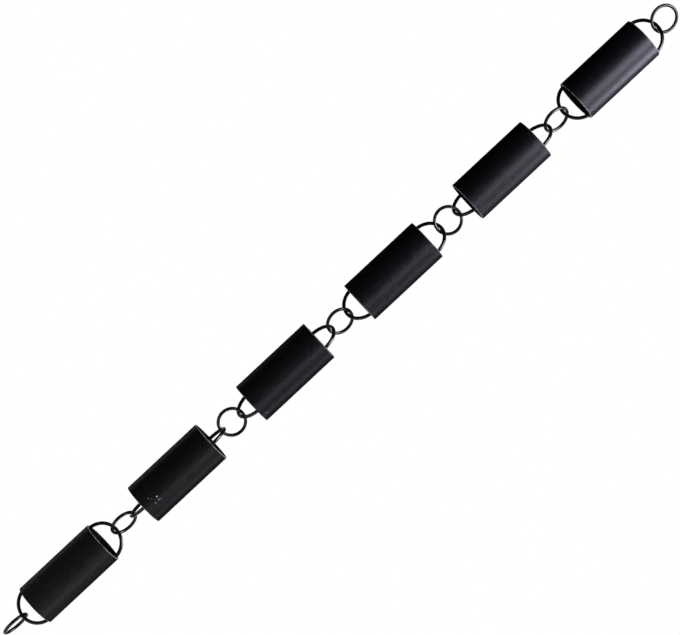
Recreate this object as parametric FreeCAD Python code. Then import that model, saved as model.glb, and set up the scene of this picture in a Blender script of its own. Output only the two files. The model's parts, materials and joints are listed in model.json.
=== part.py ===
import FreeCAD, Part
import math
import os

# Rain chain: open tube cups joined end to end by round wire rings. Sizes are in millimetres.
# It hangs straight down along Z, and the origin is the inside top of the hanging ring,
# where a hook carries it. The hanging ring lies in the XZ plane.

# Cups: lengths of round tube with both rims rounded over.
tube_outer_diameter = 50.0
tube_length = 101.3
tube_wall = 1.2
rim_land = 0.4

# Bails: half-round wire arches, one in each end of a tube, with legs welded inside the wall.
bail_wire_diameter = 4.0
upper_bail_rise = 21.9
lower_bail_rise = 20.1
bail_leg_depth = 13.0
leg_end_chamfer = 0.5
weld_land_depth = 0.15

# Rings: wire bent round until its ends nearly meet. The seam stands clear of both bails.
ring_outer_diameter = 34.0
ring_wire_diameter = 3.7
ring_seam_gap = 0.4
ring_seam_turn = -35.0

# Room between two wires where one hangs in the other.
link_clearance = 0.3

# How each piece has turned about the chain's line, in degrees from +X.
ring_turns = [0.0, 25.0, -16.0, 12.0, -12.0, 30.0, 48.0]
cup_turns = [-48.0, -90.0, -69.0, -92.0, -112.0, -44.0]

ORIGIN = FreeCAD.Vector(0, 0, 0)
X_AXIS = FreeCAD.Vector(1, 0, 0)
Y_AXIS = FreeCAD.Vector(0, 1, 0)
Z_AXIS = FreeCAD.Vector(0, 0, 1)
HALF_TURN = 180.0
FULL_TURN = 360.0

tube_radius = tube_outer_diameter / 2
tube_inner_radius = tube_radius - tube_wall
rim_round = (tube_wall - rim_land) / 2
bail_wire_radius = bail_wire_diameter / 2
bail_radius = tube_inner_radius - bail_wire_radius + weld_land_depth
ring_wire_radius = ring_wire_diameter / 2
ring_radius = ring_outer_diameter / 2 - ring_wire_radius

# Two linked wires lie this far apart between their centres.
link_reach = bail_wire_radius + ring_wire_radius + link_clearance

# From one ring's centre to the next along the chain.
upper_reach = upper_bail_rise - bail_wire_radius
lower_reach = lower_bail_rise - bail_wire_radius
pitch = tube_length + upper_reach + lower_reach + 2 * (ring_radius - link_reach)


def wire_section(centre, along, radius):
    """The round section of a wire, standing across the direction it runs in."""
    outline = Part.Circle(centre, along, radius).toShape()
    return Part.Face(Part.Wire(outline))


def make_tube():
    """A tube hanging from its upper rim at the origin."""
    outside = Part.makeCylinder(tube_radius, tube_length, Z_AXIS * -tube_length)
    inside = Part.makeCylinder(tube_inner_radius, tube_length, Z_AXIS * -tube_length)
    wall = outside.cut(inside)
    rims = [edge for edge in wall.Edges if isinstance(edge.Curve, Part.Circle)]
    return wall.makeFillet(rim_round, rims)


def make_bail(rise):
    """A bail standing up from a rim at the origin, its bend in the XZ plane."""
    bend_height = rise - bail_wire_radius - bail_radius
    leg_length = bail_leg_depth + bend_height
    bend_centre = Z_AXIS * bend_height
    start = wire_section(bend_centre + X_AXIS * bail_radius, Z_AXIS, bail_wire_radius)
    end = wire_section(bend_centre - X_AXIS * bail_radius, Z_AXIS, bail_wire_radius)
    bend = start.revolve(bend_centre, Y_AXIS, -HALF_TURN)
    near_leg = start.extrude(Z_AXIS * -leg_length)
    far_leg = end.extrude(Z_AXIS * -leg_length)
    bail = bend.fuse([near_leg, far_leg]).removeSplitter()
    end_height = leg_end_chamfer - bail_leg_depth
    cut_ends = [edge for edge in bail.Edges if edge.CenterOfMass.z < end_height]
    return bail.makeChamfer(leg_end_chamfer, cut_ends)


def make_ring():
    """A wire ring in the XZ plane about the origin, open at its seam."""
    half_gap = math.degrees(ring_seam_gap / ring_radius) / 2
    start = wire_section(Z_AXIS * ring_radius, X_AXIS, ring_wire_radius)
    start.rotate(ORIGIN, Y_AXIS, ring_seam_turn + half_gap)
    return start.revolve(ORIGIN, Y_AXIS, FULL_TURN - 2 * half_gap)


def hung(shape, turn, height):
    """A piece turned about the chain's line and hung at its height."""
    placed = shape.copy()
    placed.rotate(ORIGIN, Z_AXIS, turn)
    placed.translate(Z_AXIS * height)
    return placed


tube = make_tube()
upper_bail = make_bail(upper_bail_rise).cut(tube)
lower_bail = make_bail(lower_bail_rise)
lower_bail.rotate(ORIGIN, X_AXIS, HALF_TURN)
lower_bail.translate(Z_AXIS * -tube_length)
lower_bail = lower_bail.cut(tube)
ring = make_ring()

nodes = {}
ring_height = ring_wire_radius - ring_radius
ring_names = ["hanging_ring"]
ring_names += [f"link_ring_{number}" for number in range(1, len(cup_turns))]
ring_names += ["bottom_ring"]
for name, turn in zip(ring_names, ring_turns):
    nodes[name] = hung(ring, turn, ring_height)
    ring_height -= pitch

rim_height = ring_wire_radius - 2 * ring_radius + link_reach - upper_reach
for number, turn in enumerate(cup_turns, 1):
    nodes[f"cup_{number}_tube"] = hung(tube, turn, rim_height)
    nodes[f"cup_{number}_upper_bail"] = hung(upper_bail, turn, rim_height)
    nodes[f"cup_{number}_lower_bail"] = hung(lower_bail, turn, rim_height)
    rim_height -= pitch

os.makedirs("parts", exist_ok=True)
for name, shape in nodes.items():
    solid = shape.Solids[0]
    solid.exportStep(f"parts/{name}.step")
    print(name, round(solid.Volume), "mm3")
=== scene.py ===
# %% [markdown]
# # A rain chain
#
# A rain chain hangs from a gutter and leads the water down in place of a downpipe. This one is made
# of open black tubes. Each tube has a wire bail welded into both ends, and round wire rings link one
# tube to the next. The solids of all these pieces are already there, each on the body that it swings
# with. This lesson gives them their finishes, adds the welds, the wear and a painted highlight along
# the rims, and sets up the studio.

# %% Load the chain
import json
import bpy
import numpy as np
from mathutils import Matrix, Vector

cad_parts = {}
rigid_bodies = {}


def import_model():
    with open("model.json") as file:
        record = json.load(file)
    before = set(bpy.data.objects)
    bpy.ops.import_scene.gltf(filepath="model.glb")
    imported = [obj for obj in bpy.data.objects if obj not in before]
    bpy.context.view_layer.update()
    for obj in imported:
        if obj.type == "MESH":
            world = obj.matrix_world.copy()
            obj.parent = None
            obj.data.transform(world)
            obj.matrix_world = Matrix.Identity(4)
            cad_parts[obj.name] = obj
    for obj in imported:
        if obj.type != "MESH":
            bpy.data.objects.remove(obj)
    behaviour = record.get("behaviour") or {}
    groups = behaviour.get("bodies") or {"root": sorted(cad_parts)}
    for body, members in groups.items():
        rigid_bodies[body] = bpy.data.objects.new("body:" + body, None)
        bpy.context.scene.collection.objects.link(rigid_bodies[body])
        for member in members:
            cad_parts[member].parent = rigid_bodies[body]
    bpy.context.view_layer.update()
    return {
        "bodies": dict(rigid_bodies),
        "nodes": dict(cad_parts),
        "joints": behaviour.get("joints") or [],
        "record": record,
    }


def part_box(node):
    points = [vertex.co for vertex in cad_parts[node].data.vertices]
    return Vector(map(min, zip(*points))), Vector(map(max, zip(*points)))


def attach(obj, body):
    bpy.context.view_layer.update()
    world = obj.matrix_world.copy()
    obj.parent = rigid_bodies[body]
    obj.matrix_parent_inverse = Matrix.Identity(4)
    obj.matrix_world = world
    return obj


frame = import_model()

# %% [markdown]
# ## The camera
#
# The chain hangs straight down, but the picture shows it running from corner to corner. We could lay
# the chain over, but it has to keep its own frame, so the camera rolls about its line of sight
# instead. A long lens from far off keeps the tubes nearly the same size from end to end.

# %% Camera
MM = 0.001

# The width of the picture and the length of the lens, in pixels of the picture.
IMAGE_WIDTH = 680
FOCAL_PIXELS = 2425

# The width of the camera's sensor in millimetres, as Blender counts it.
SENSOR_WIDTH = 36

# How far off the camera stands, how high it looks, and how far beside the chain.
VIEW_DISTANCE = 2647 * MM
MID_HEIGHT = -494.55 * MM
AIM_ASIDE = -2.8 * MM

# How far it rolls about its line of sight, and how far round the chain it stands.
ROLL = np.radians(47)
VIEW_TURN = np.radians(-30)

up = Vector((0, 0, 1))
right = Vector((np.cos(VIEW_TURN), np.sin(VIEW_TURN), 0))
ahead = up.cross(right)


def add_camera():
    """A level camera that looks along `ahead`, rolled about it until up points to the corner."""
    data = bpy.data.cameras.new("photo_camera")
    data.sensor_width = SENSOR_WIDTH
    data.lens = FOCAL_PIXELS * SENSOR_WIDTH / IMAGE_WIDTH
    camera = bpy.data.objects.new("photo_camera", data)
    across = np.sin(ROLL) * up + np.cos(ROLL) * right
    upright = np.cos(ROLL) * up - np.sin(ROLL) * right
    turn = Matrix((across, upright, -ahead)).transposed().to_4x4()
    spot = MID_HEIGHT * up + AIM_ASIDE * right - VIEW_DISTANCE * ahead
    camera.matrix_world = Matrix.Translation(spot) @ turn
    bpy.context.scene.collection.objects.link(camera)
    bpy.context.scene.camera = camera
    return camera


camera = add_camera()
print("lens", round(camera.data.lens, 1), "mm at", [round(v, 3) for v in camera.location])

# %% [markdown]
# ## Measures of the chain
#
# The rim line, partly wear and partly a painted highlight, follows the rims and the welds follow the
# bails' legs, so we first ask the frame where those are. A box round a tube gives its radius and its
# two rims. The axis that the ring below a cup swings about runs along the bail it hangs in, so it also
# says which way the bails of that cup face.

# %% Measures
cups = [name for name in frame["bodies"] if name.startswith("cup_")]
tube_boxes = [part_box(f"{cup}_tube") for cup in cups]
rim_low = [low.z for low, high in tube_boxes]
rim_high = [high.z for low, high in tube_boxes]
tube_radius = tube_boxes[0][1].x
tube_length = rim_high[0] - rim_low[0]
pitch = rim_high[0] - rim_high[1]
ring_joints = [joint for joint in frame["joints"] if joint["parent"] in cups]
bail_axis = {joint["parent"]: Vector(joint["axis"]) for joint in ring_joints}
print("tube", round(tube_length / MM, 1), "mm long, a link every", round(pitch / MM, 1), "mm")

# %% [markdown]
# ## Helpers for the finishes
#
# Colours are easiest to read as the hex values of a paint program, but a shader works in linear
# light, so one function turns one into the other. A second one adds a node, gives it its settings and
# links its inputs, so that each finish below reads as a short list of nodes.

# %% Colour and node helpers
def linear(hex_colour):
    """Linear RGBA of an sRGB hex colour: a straight line up to 0.04045, a power curve above it."""
    part = np.array([int(hex_colour[i:i + 2], 16) for i in (1, 3, 5)]) / 255
    light = np.where(part <= 0.04045, part / 12.92, ((part + 0.055) / 1.055) ** 2.4)
    return (*light.tolist(), 1.0)


def add_node(tree, kind, settings=None, **inputs):
    """One node, with `settings` on its properties and values or links on its inputs.

    An input goes by its name, with _ for each space, or by its place, as _0, _1 and so on.
    """
    node = tree.nodes.new("ShaderNode" + kind)
    for name, value in (settings or {}).items():
        setattr(node, name, value)
    for name, value in inputs.items():
        key = int(name[1:]) if name[1:].isdigit() else name.replace("_", " ")
        if isinstance(value, bpy.types.NodeSocket):
            tree.links.new(value, node.inputs[key])
        else:
            node.inputs[key].default_value = value
    return node


def new_finish(name):
    """A material and its empty node tree."""
    material = bpy.data.materials.new(name)
    material.use_nodes = True
    material.node_tree.nodes.clear()
    return material, material.node_tree


def per_metre(size_mm):
    """How many times a pattern of that size repeats along one metre, which is a texture's scale."""
    return 1 / (size_mm * MM)


print("mid grey", [round(v, 3) for v in linear("#808080")])

# %% [markdown]
# ## Worn rims and a painted rim highlight
#
# Powder shrinks back from a sharp edge as it melts, so the rims of a coated tube are the first place
# where bare steel shows. The same light grey line also stands in for the thin highlight that the
# rounded rims catch, so it is partly wear and partly a painted highlight. We could paint that by hand
# for each tube. A height that counts up and down again from the middle of one tube to the middle of
# the next finds every rim at once instead, and a slow noise breaks the line up, so that it comes and
# goes along the rim.

# %% Rim wear and painted rim highlight
# In millimetres from the rim: where the grey line of wear and painted highlight begins, and where it is
# full. Then the size of its patches.
RIM_LINE_WIDTH = 0.9
RIM_LINE_FULL = 0.2
RIM_LINE_PATCH = 7.0

# How much grey the line gets, as bare steel and painted highlight, and the levels of the noise between
# which it comes in.
RIM_LINE_DEPTH = 0.5
RIM_LINE_FROM, RIM_LINE_TO = 0.32, 0.52


def rim_wear_and_highlight(tree, place):
    """How much grey a rim line puts at a place: nearness to a rim times the patches that the noise allows.
    The grey is partly worn steel and partly a painted highlight.

    The distance from the middle of the nearest tube grows and shrinks along the chain. The line comes in
    from its width to its full point, both measured short of the distance at which a rim lies.
    """
    height = add_node(tree, "SeparateXYZ", Vector=place).outputs["Z"]
    middle = (rim_low[0] + rim_high[0]) / 2
    lifted = add_node(tree, "Math", {"operation": "SUBTRACT"}, _0=height, _1=middle)
    off_middle = add_node(tree, "Math", {"operation": "PINGPONG"}, _0=lifted.outputs[0], _1=pitch / 2)
    rim = tube_length / 2
    edge = add_node(
        tree, "MapRange", Value=off_middle.outputs[0], _1=rim - RIM_LINE_WIDTH * MM, _2=rim - RIM_LINE_FULL * MM,
    )
    patch = add_node(tree, "TexNoise", Vector=place, Scale=per_metre(RIM_LINE_PATCH), Detail=4.0)
    worn_and_highlit = add_node(
        tree, "MapRange", Value=patch.outputs["Fac"], _1=RIM_LINE_FROM, _2=RIM_LINE_TO, _4=RIM_LINE_DEPTH,
    )
    both = add_node(tree, "Math", {"operation": "MULTIPLY"}, _0=edge.outputs[0], _1=worn_and_highlit.outputs[0])
    return both.outputs[0]


# The rims' grey line is partly worn steel and partly a painted highlight.
print("rims worn", RIM_LINE_WIDTH, "mm in from the edge, in patches of", RIM_LINE_PATCH, "mm")

# %% [markdown]
# ## Chips
#
# The fifth cup has been knocked just above its lower rim, and a handful of flakes of coat are gone.
# The fourth has lost one. Each is one or two millimetres across. They could be cut into the mesh, but
# the coat is so thin that only the colour changes. So each chip is the space within a small distance of
# a point on the tube, and a noise that shifts the place a little gives it a ragged outline.

# %% Chips
# In millimetres: the size of the jags in an outline, and how far the noise can shift it.
CHIP_RAG = 1.2
CHIP_SHIFT = 1.0

# The cup, how far over its lower rim in mm, how far round from the side that faces us in degrees, the
# size in mm, and how bare it is: a shallow flake still holds some of its coat.
CHIPS = [
    ("cup_5", 10.9, -2.7, 1.8, 0.55),
    ("cup_5", 13.5, 3.7, 1.2, 0.5),
    ("cup_5", 19.3, 8.3, 2.2, 1.0),
    ("cup_5", 18.6, 17.4, 1.9, 0.6),
    ("cup_5", 20.8, 19.6, 1.4, 0.5),
    ("cup_5", 13.6, 18.3, 1.9, 0.5),
    ("cup_4", 6.5, 48.0, 1.3, 0.9),
]


def chip_mask(tree, place):
    """How bare a chip has left the steel at a place, and 0 outside all of them.

    A chip is bare up to a third of its size from its middle and ends at half of it, measured from a
    place that the noise has shifted. Where two overlap, the barer one counts.
    """
    shift = [CHIP_SHIFT * MM] * 3
    noise = add_node(tree, "TexNoise", Vector=place, Scale=per_metre(CHIP_RAG), Detail=2.0)
    shifted = add_node(
        tree, "VectorMath", {"operation": "MULTIPLY_ADD"}, _0=noise.outputs["Color"], _1=shift, _2=place,
    )
    mask = 0.0
    for cup, over_rim, angle, size, bare in CHIPS:
        round_tube = np.radians(angle)
        out = np.sin(round_tube) * right - np.cos(round_tube) * ahead
        height = rim_low[cups.index(cup)] + over_rim * MM
        spot = tube_radius * out + height * up + Vector(shift) / 2
        away = add_node(tree, "VectorMath", {"operation": "DISTANCE"}, _0=shifted.outputs[0], _1=spot)
        inside = add_node(
            tree, "MapRange", Value=away.outputs["Value"], _1=size * MM / 2, _2=size * MM / 3, _4=bare,
        )
        mask = add_node(tree, "Math", {"operation": "MAXIMUM"}, _0=inside.outputs[0], _1=mask).outputs[0]
    return mask


print(len(CHIPS), "chips, the largest", max(chip[3] for chip in CHIPS), "mm")

# %% [markdown]
# ## Satin black powder coat
#
# The tubes are coated with black polyester powder, which melts in an oven into a tough skin. It flows
# out almost, but not quite, flat: the fine grain that is left spreads each highlight into a soft grey
# sheen along the tube. A smooth black paint would show a sharp stripe. The grain is a bump a little
# over a millimetre wide, and slow patches in tone and roughness keep the sheen from looking drawn with
# a ruler. Steel that has lost its coat soon dulls in the weather, so the bare spots are a matt grey and
# not a bright metal. Along the rims the same grey also serves as a painted highlight.

# %% Powder coat
# In millimetres. The real grain is about 0.3 wide, and is drawn coarser so that it shows in a picture.
COAT_GRAIN = 1.3
COAT_GRAIN_HEIGHT = 0.03
COAT_PATCH = 5.0

# A black polymer: its two tones, its index of refraction, and its roughness from patch to patch.
COAT_DARK, COAT_LIGHT = "#060608", "#0b0b0d"
COAT_IOR = 1.5
COAT_SMOOTH, COAT_ROUGH = 0.36, 0.44

# How strongly the grain shows, and the grey of steel that has lost its coat, which along the rims is
# also a painted highlight.
COAT_BUMP = 0.45
DULL_STEEL_AND_RIM_HIGHLIGHT = "#b7b5b1"

# Most of a noise lies between these two levels.
NOISE_LOW, NOISE_HIGH = 0.3, 0.7


def powder_coat():
    """Black polymer. Grain from a fine noise as bump, roughness from a slow one, steel grey where bare and
    as a painted rim highlight.
    """
    material, tree = new_finish("satin_black_powder_coat")
    place = add_node(tree, "TexCoord").outputs["Object"]
    grain = add_node(tree, "TexNoise", Vector=place, Scale=per_metre(COAT_GRAIN), Detail=3.0)
    patch = add_node(tree, "TexNoise", Vector=place, Scale=per_metre(COAT_PATCH), Detail=3.0)
    rim_line, chips = rim_wear_and_highlight(tree, place), chip_mask(tree, place)
    # Bare steel at the chips; along the rims the grey is partly worn steel and partly a painted highlight.
    bare = add_node(tree, "Math", {"operation": "MAXIMUM"}, _0=rim_line, _1=chips)
    tone = add_node(
        tree, "MixRGB", _0=patch.outputs["Fac"], _1=linear(COAT_DARK), _2=linear(COAT_LIGHT),
    )
    colour = add_node(tree, "MixRGB", _0=bare.outputs[0], _1=tone.outputs[0], _2=linear(DULL_STEEL_AND_RIM_HIGHLIGHT))
    satin = add_node(
        tree, "MapRange", Value=patch.outputs["Fac"],
        _1=NOISE_LOW, _2=NOISE_HIGH, _3=COAT_SMOOTH, _4=COAT_ROUGH,
    )
    bump = add_node(
        tree, "Bump", Strength=COAT_BUMP, Distance=COAT_GRAIN_HEIGHT * MM, Height=grain.outputs["Fac"],
    )
    coat = add_node(
        tree, "BsdfPrincipled", Base_Color=colour.outputs[0], Roughness=satin.outputs[0],
        IOR=COAT_IOR, Normal=bump.outputs[0],
    )
    add_node(tree, "OutputMaterial", Surface=coat.outputs[0])
    return material


tube_coat = powder_coat()
print(tube_coat.name, "with", len(tube_coat.node_tree.nodes), "nodes")

# %% [markdown]
# ## Gloss black wire
#
# The bails and rings are drawn steel wire under black enamel. Drawn wire is smooth and the enamel
# flows out on it, so the wire mirrors each light as one narrow stripe and is black beside it. A dark
# metal would be the other choice, but it mirrors the pale room as well and soon looks grey. Enamel
# sets in slow ripples, so a noise of a few millimetres shifts its tone and roughness and bends the
# stripe a little.

# %% Enamelled wire
# In millimetres: how wide and how high the ripples are.
ENAMEL_RIPPLE = 5.0
ENAMEL_RIPPLE_HEIGHT = 0.05

# Its two tones, its index of refraction, its roughness from ripple to ripple, and how strongly they show.
ENAMEL_DARK, ENAMEL_LIGHT = "#08080a", "#101011"
ENAMEL_IOR = 1.6
ENAMEL_SMOOTH, ENAMEL_ROUGH = 0.18, 0.26
ENAMEL_BUMP = 0.5


def enamelled_wire():
    """Black enamel, smoother than the tubes' coat, with slow ripples in tone, roughness and height."""
    material, tree = new_finish("gloss_black_enamel")
    place = add_node(tree, "TexCoord").outputs["Object"]
    noise = add_node(tree, "TexNoise", Vector=place, Scale=per_metre(ENAMEL_RIPPLE), Detail=2.0)
    ripple = noise.outputs["Fac"]
    tone = add_node(tree, "MixRGB", _0=ripple, _1=linear(ENAMEL_DARK), _2=linear(ENAMEL_LIGHT))
    gloss = add_node(
        tree, "MapRange", Value=ripple, _1=NOISE_LOW, _2=NOISE_HIGH, _3=ENAMEL_SMOOTH, _4=ENAMEL_ROUGH,
    )
    bump = add_node(
        tree, "Bump", Strength=ENAMEL_BUMP, Distance=ENAMEL_RIPPLE_HEIGHT * MM, Height=ripple,
    )
    enamel = add_node(
        tree, "BsdfPrincipled", Base_Color=tone.outputs[0], Roughness=gloss.outputs[0],
        IOR=ENAMEL_IOR, Normal=bump.outputs[0],
    )
    add_node(tree, "OutputMaterial", Surface=enamel.outputs[0])
    return material


wire_enamel = enamelled_wire()
print(wire_enamel.name, "with", len(wire_enamel.node_tree.nodes), "nodes")

# %% [markdown]
# ## Dressing the solids
#
# Tubes, bails and rings already have their true shape, so nothing is modelled twice: each solid only
# gets the finish that its record names. One finish serves all six tubes, because the patterns are laid
# out in the chain's own space and so differ from tube to tube.

# %% Dress the solids
finishes = {"tube_coat": tube_coat, "wire_finish": wire_enamel}
for subpart in frame["record"]["subparts"]:
    for slot in frame["nodes"][subpart["node"]].material_slots:
        slot.material = finishes[subpart["material_slot"]]

# %% [markdown]
# ## Welds
#
# Each bail is held by four beads of weld, one down each side of its two legs, where the round wire
# meets the wall. A bead is a row of overlapping drops. We could model one drop and copy it, but a
# single tube whose radius swells and shrinks along its length gives one closed skin with no hidden
# faces. All the beads of a cup are worked out together as one array and become one piece.

# %% Weld beads
# The tube's wall and the radius of a bail's leg, as in the solids.
TUBE_WALL = 1.2 * MM
LEG_RADIUS = 2.0 * MM

# A bead's radius, how far inside the rim it starts, and its length.
WELD_RADIUS = 1.0 * MM
WELD_TOP = 2.5 * MM
WELD_LENGTH = 8.5 * MM

# A bead is sunk a little into both: the share of its own radius that its line stands off the wall, and
# the share of the leg's radius that it stands off the middle of the leg.
WALL_SHARE = 0.9
LEG_SHARE = 0.95

# The drops in a bead, and how far each swells it.
WELD_DROPS = 6
DROP_SWELL = 0.1

# The points along a bead and round it.
STEPS, SIDES = 44, 16

# The share of the half turn below that is left off at each end, for a cap, and how blunt the ends are.
CAP_SHARE = 0.04
BLUNTNESS = 8


def level_circle(sides):
    """Points of a level circle of radius 1 about the origin, turned by their share of a full turn."""
    turn = np.arange(sides) / sides * 2 * np.pi
    return np.stack([np.cos(turn), np.sin(turn), 0 * turn], -1)


def bead_skin(roots, downs):
    """Skins of beads that start at `roots` and run along `downs`, as an array of bead, step, side, xyz.

    A share s runs along the bead: half of 1 less the cosine of an angle that goes through nearly a half
    turn, which makes the steps finer near the ends. The radius is the weld's, times the root of 1 less
    the eighth power of 2s - 1, which rounds both ends off, times 1 plus a tenth of a cosine for each
    drop. The cosine starts elsewhere in each bead.
    """
    share = (1 - np.cos(np.linspace(CAP_SHARE, 1 - CAP_SHARE, STEPS) * np.pi)) / 2
    ends = np.sqrt(1 - (2 * share - 1) ** BLUNTNESS)
    phase = 2 * np.pi * WELD_DROPS * share[None] + np.arange(len(roots))[:, None]
    radius = WELD_RADIUS * ends * (1 + DROP_SWELL * np.cos(phase))
    line = roots[:, None] + WELD_LENGTH * share[None, :, None] * downs[:, None]
    return line[:, :, None] + radius[:, :, None, None] * level_circle(SIDES)


def weld_lines(cup, number):
    """Root and direction of a cup's eight beads: two ends, two legs, two sides of each leg."""
    along = np.array(bail_axis[cup])
    aside = np.array(up.cross(bail_axis[cup]))
    end, leg, side = np.meshgrid([1, -1], [1, -1], [1, -1], indexing="ij")
    end, leg, side = end.reshape(-1, 1), leg.reshape(-1, 1), side.reshape(-1, 1)
    out = tube_radius - TUBE_WALL - WALL_SHARE * WELD_RADIUS
    height = np.where(end > 0, rim_high[number], rim_low[number]) - WELD_TOP * end
    roots = out * leg * along + LEG_SHARE * LEG_RADIUS * side * aside + height * np.array(up)
    return roots, -end * np.array(up)


print("a bead has", STEPS * SIDES, "points and", WELD_DROPS, "drops")

# %% [markdown]
# The faces are found by counting: a point joins the next one round and the next one along. The ring of
# points at each end is closed with one small face. Beads that run up turn their skin inside out, so
# their faces are listed the other way round. Blender can look for the outside by itself, but here we
# know which beads need it.

# %% Weld pieces
def skin_faces(count, flipped):
    """Quads between neighbouring steps and sides, and a cap on both ends, of `count` beads."""
    index = np.arange(count * STEPS * SIDES).reshape(count, STEPS, SIDES)
    beside = np.roll(index, -1, axis=2)
    quads = np.stack([index[:, :-1], index[:, 1:], beside[:, 1:], beside[:, :-1]], -1)
    caps = np.stack([index[:, 0], index[:, -1, ::-1]], 1)
    quads[flipped] = quads[flipped][..., ::-1]
    caps[flipped] = caps[flipped][..., ::-1]
    return quads.reshape(-1, 4).tolist() + caps.reshape(-1, SIDES).tolist()


def add_welds(cup, number):
    """The eight beads of a cup as one piece, which swings with that cup."""
    roots, downs = weld_lines(cup, number)
    skin = bead_skin(roots, downs)
    mesh = bpy.data.meshes.new(f"{cup}_welds")
    mesh.from_pydata(skin.reshape(-1, 3).tolist(), [], skin_faces(len(skin), downs[:, 2] > 0))
    mesh.polygons.foreach_set("use_smooth", [True] * len(mesh.polygons))
    mesh.materials.append(tube_coat)
    welds = bpy.data.objects.new(f"{cup}_welds", mesh)
    bpy.context.scene.collection.objects.link(welds)
    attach(welds, cup)
    return welds


welds = [add_welds(cup, number) for number, cup in enumerate(cups)]
print(len(welds), "weld pieces of", len(welds[0].data.polygons), "faces")

# %% [markdown]
# ## The studio
#
# The background of the picture is plain white, with no shadow near the chain. To the camera the world
# is white on every side. A white that wraps all round would also be mirrored all round, and the wires
# would lose their dark edges, so mirrored rays see white only straight behind the chain, where a
# backdrop would stand, and black elsewhere. What lights the chain from all round is a weak grey.

# %% World
WHITE = "#ffffff"

# The level of the grey that lights the chain, where 1 is white.
AMBIENT = 0.10

# The half angle of the white that mirrored rays see, and the softness of its edge, as a cosine.
BACKDROP_HALF_ANGLE = np.radians(14)
BACKDROP_SOFTNESS = 0.01


def white_world():
    """White to the camera, and behind the chain to mirrored and see-through rays. AMBIENT to the others."""
    world = bpy.data.worlds.new("white_studio")
    world.use_nodes = True
    tree = world.node_tree
    tree.nodes.clear()
    path = add_node(tree, "LightPath").outputs
    heading = add_node(tree, "TexCoord").outputs["Generated"]
    facing = add_node(tree, "VectorMath", {"operation": "DOT_PRODUCT"}, _0=heading, _1=ahead)
    edge = float(np.cos(BACKDROP_HALF_ANGLE))
    behind = add_node(
        tree, "MapRange", Value=facing.outputs["Value"],
        _1=edge - BACKDROP_SOFTNESS, _2=edge + BACKDROP_SOFTNESS,
    )
    mirrored = add_node(
        tree, "Math", {"operation": "MAXIMUM"}, _0=path["Is Glossy Ray"], _1=path["Is Transmission Ray"],
    )
    in_mirror = add_node(
        tree, "Math", {"operation": "MULTIPLY"}, _0=mirrored.outputs[0], _1=behind.outputs[0],
    )
    seen = add_node(
        tree, "Math", {"operation": "MAXIMUM"}, _0=path["Is Camera Ray"], _1=in_mirror.outputs[0],
    )
    dim = add_node(tree, "MapRange", Value=mirrored.outputs[0], _3=AMBIENT, _4=0.0)
    level = add_node(tree, "MapRange", Value=seen.outputs[0], _3=dim.outputs[0], _4=1.0)
    light = add_node(tree, "Background", Color=linear(WHITE), Strength=level.outputs[0])
    add_node(tree, "OutputWorld", Surface=light.outputs[0])
    return world


bpy.context.scene.world = white_world()
bpy.context.scene.view_settings.view_transform = "Standard"
print("world", bpy.context.scene.world.name, "view", bpy.context.scene.view_settings.view_transform)

# %% [markdown]
# ## Floor
#
# The chain hangs clear of a pale floor, which the main view looks over but other views show. A plane
# would do, but a round floor has no corner to catch the eye. Most of its brightness is shown to the
# camera alone, so that it stays nearly white without lighting the chain from below, and the rest is
# plain paint that takes the chain's faint shadow. The paint is a light grey, because the lowest tubes
# mirror it and white would lift their dark side.

# %% Floor
FLOOR_HEIGHT = -1350 * MM
FLOOR_RADIUS = 1600 * MM
FLOOR_SIDES = 96
FLOOR_PAINT = "#c0c0c0"

# The share of plain white in what the camera sees.
FLOOR_GLOW = 0.9


def add_floor():
    """A disc: a level circle times its radius, at the floor's height, filled with one face."""
    edge = FLOOR_RADIUS * level_circle(FLOOR_SIDES) + FLOOR_HEIGHT * np.array(up)
    mesh = bpy.data.meshes.new("floor")
    mesh.from_pydata(edge.tolist(), [], [list(range(FLOOR_SIDES))])
    floor = bpy.data.objects.new("floor", mesh)
    bpy.context.scene.collection.objects.link(floor)
    return floor


def pale_paint():
    """White emission to the camera over a diffuse light grey that keeps the shadow."""
    material, tree = new_finish("pale_floor_paint")
    path = add_node(tree, "LightPath").outputs
    paint = add_node(tree, "BsdfDiffuse", Color=linear(FLOOR_PAINT))
    glow = add_node(tree, "Emission", Color=linear(WHITE))
    share = add_node(tree, "Math", {"operation": "MULTIPLY"}, _0=path["Is Camera Ray"], _1=FLOOR_GLOW)
    both = add_node(tree, "MixShader", _0=share.outputs[0], _1=paint.outputs[0], _2=glow.outputs[0])
    add_node(tree, "OutputMaterial", Surface=both.outputs[0])
    return material


floor = add_floor()
floor.data.materials.append(pale_paint())
print("floor", round(-FLOOR_HEIGHT / MM), "mm below the hook")

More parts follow.
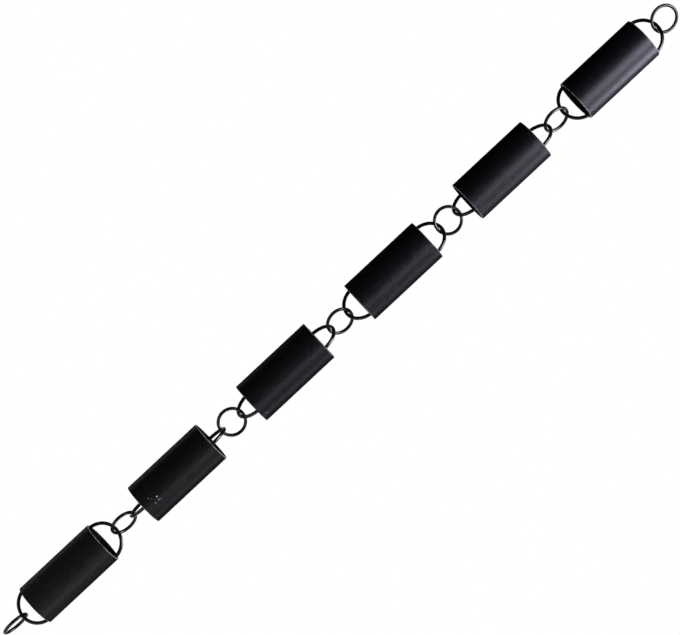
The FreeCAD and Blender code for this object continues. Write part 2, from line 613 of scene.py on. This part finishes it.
# %% [markdown]
# ## Lights
#
# A black tube shows little but the lights that it reflects. Its sheen has two soft ridges, so two tall
# strips stand to the right of the camera, one nearly in front and one at the side. Both end in a
# brighter panel near the top, because the upper cups shine more than the lower ones, and a low strip
# between them gives the last cups their single ridge. The key light is a large panel high on the
# right, which draws the stripes on the shoulders of the bails. A narrow strip far round on the left
# draws the thin line along the edge of the last cups, and a panel behind the chain shows its far side.
# That panel is weak, because the rims catch it in the main view too.

# %% Lights
COOL_WHITE = "#f6f6ff"
PALE_VIOLET = "#e4e3ff"


def add_softbox(name, bearing, distance, height, aim, wide, tall, glow, colour):
    """A softbox `bearing` degrees round from the camera to its right, facing the chain at height `aim`.

    Lengths are in millimetres. Its power is its glow, the light that each point of it sends each way,
    times its area times pi.
    """
    data = bpy.data.lights.new(name, "AREA")
    data.shape = "RECTANGLE"
    data.size, data.size_y = wide * MM, tall * MM
    data.energy = glow * data.size * data.size_y * np.pi
    data.color = linear(colour)[:3]
    light = bpy.data.objects.new(name, data)
    angle = np.radians(bearing)
    level = Vector(distance * (np.sin(angle) * right - np.cos(angle) * ahead))
    back = (level + (height - aim) * up).normalized()
    aside = up.cross(back).normalized()
    turn = Matrix((aside, back.cross(aside), back)).transposed().to_4x4()
    light.matrix_world = Matrix.Translation((level + height * up) * MM) @ turn
    light.visible_camera = False
    bpy.context.scene.collection.objects.link(light)
    return light


# Each row: the name, bearing, distance, height, height aimed at, width, tallness, glow and colour.
softboxes = [
    add_softbox("key", 60, 1900, 1650, -450, 1600, 1600, 12.0, COOL_WHITE),
    add_softbox("front_strip", 39, 1200, -300, -300, 250, 1300, 1.5, COOL_WHITE),
    add_softbox("front_top", 34, 900, 320, 320, 520, 640, 6.9, PALE_VIOLET),
    add_softbox("side_strip", 98, 1200, -300, -300, 250, 1300, 1.4, COOL_WHITE),
    add_softbox("side_top", 93, 900, 320, 320, 420, 640, 11.0, PALE_VIOLET),
    add_softbox("low_strip", 66, 1200, -1250, -1250, 350, 600, 1.3, COOL_WHITE),
    add_softbox("edge_strip", -128, 1200, -1000, -1000, 150, 700, 0.8, WHITE),
    add_softbox("back_panel", 180, 1700, -400, -400, 800, 2000, 1.8, WHITE),
]
print("softboxes", {light.name: round(light.data.energy, 2) for light in softboxes}, "W")
